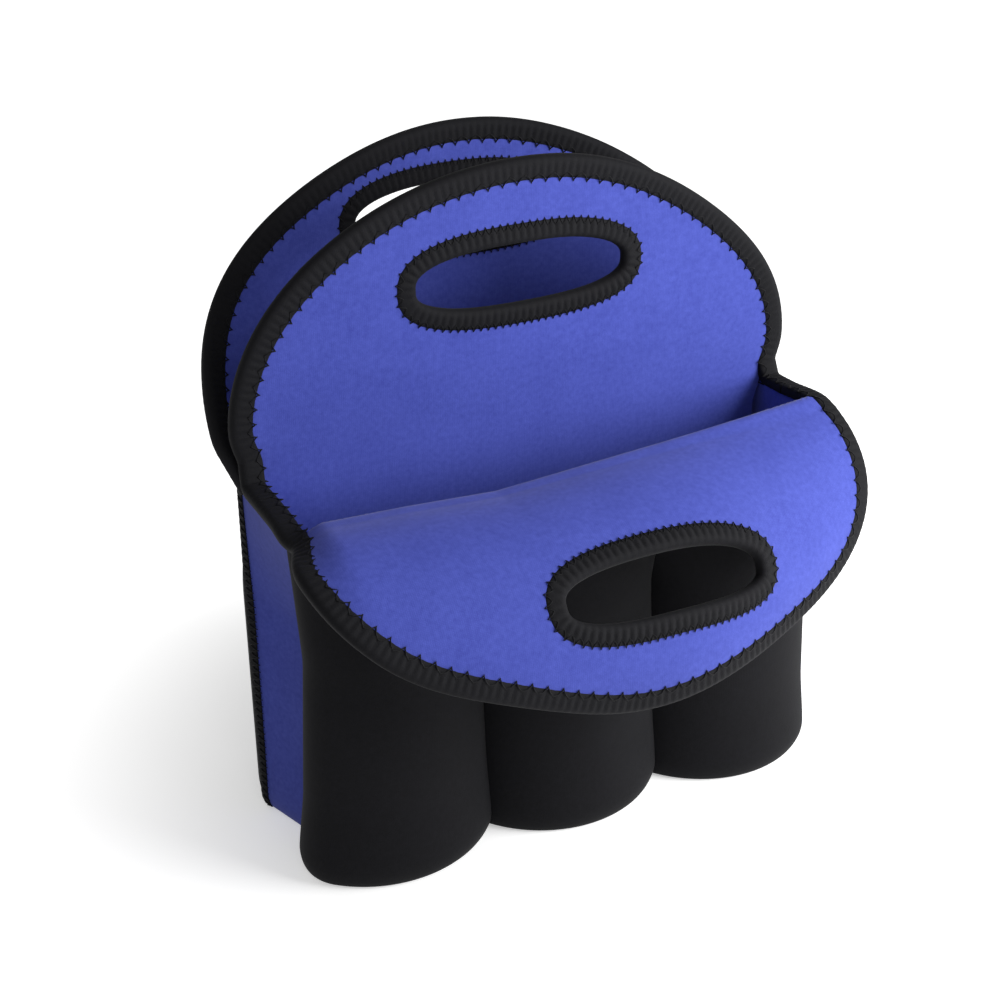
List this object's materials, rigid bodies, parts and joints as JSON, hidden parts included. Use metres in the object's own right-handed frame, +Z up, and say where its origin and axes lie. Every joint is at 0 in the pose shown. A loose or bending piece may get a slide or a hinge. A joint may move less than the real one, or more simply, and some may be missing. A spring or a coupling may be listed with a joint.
{
  "type": "six pack carrier",
  "caption": "Soft sewn neoprene bottle carrier with round tubes front and back, a divider, and arched handle panels with bound hand holes, the front one folded open.",
  "frame": {"origin": "on the floor, under the middle of the divider panel", "axes": "+X to the right along the tubes, +Y to the back, +Z up"},
  "size_m": [0.266, 0.1918, 0.289],
  "materials": {
    "neoprene_blue": "matte knit over foam",
    "neoprene_black": "matte knit over foam",
    "binding_black": "matte stretch tape",
    "seam_thread": "sewing thread"
  },
  "bodies": {
    "carrier_body": {"front_lining": "neoprene_blue", "back_lining": "neoprene_blue", "base_lining": "neoprene_blue", "divider_panel": "neoprene_blue", "left_side_panel": "neoprene_blue", "right_side_panel": "neoprene_blue", "left_front_web": "neoprene_blue", "right_front_web": "neoprene_blue", "left_rear_web": "neoprene_blue", "right_rear_web": "neoprene_blue", "base_panel": "neoprene_black", "front_panel": "neoprene_black", "back_panel": "neoprene_black", "left_mouth_binding": "binding_black", "right_mouth_binding": "binding_black", "left_rear_seam_tape": "seam_thread", "right_rear_seam_tape": "seam_thread"},
    "front_flap": {"flap_lining": "neoprene_blue", "flap_panel": "neoprene_black", "flap_edge_binding": "binding_black", "flap_hole_binding": "binding_black"},
    "middle_handle": {"middle_handle_panel": "neoprene_blue", "middle_edge_binding": "binding_black", "middle_hole_binding": "binding_black"},
    "back_handle": {"back_handle_panel": "neoprene_black", "back_handle_lining": "neoprene_blue", "back_edge_binding": "binding_black", "back_hole_binding": "binding_black"}
  },
  "joints": [
    {"name": "front_flap_fold", "type": "hinge", "parent": "carrier_body", "child": "front_flap", "pos_m": [0, -0.04985, 0.169], "axis": [-1, 0, 0], "range_deg": [-4, 112], "stiffness_Nm_per_rad": 0.2, "springref_deg": 6.88},
    {"name": "middle_handle_tilt", "type": "hinge", "parent": "carrier_body", "child": "middle_handle", "pos_m": [0, 0, 0.169], "axis": [1, 0, 0], "range_deg": [-8, 8], "stiffness_Nm_per_rad": 0.6},
    {"name": "back_handle_tilt", "type": "hinge", "parent": "carrier_body", "child": "back_handle", "pos_m": [0, 0.035, 0.169], "axis": [1, 0, 0], "range_deg": [-10, 10], "stiffness_Nm_per_rad": 0.6, "springref_deg": 2.29}
  ]
}
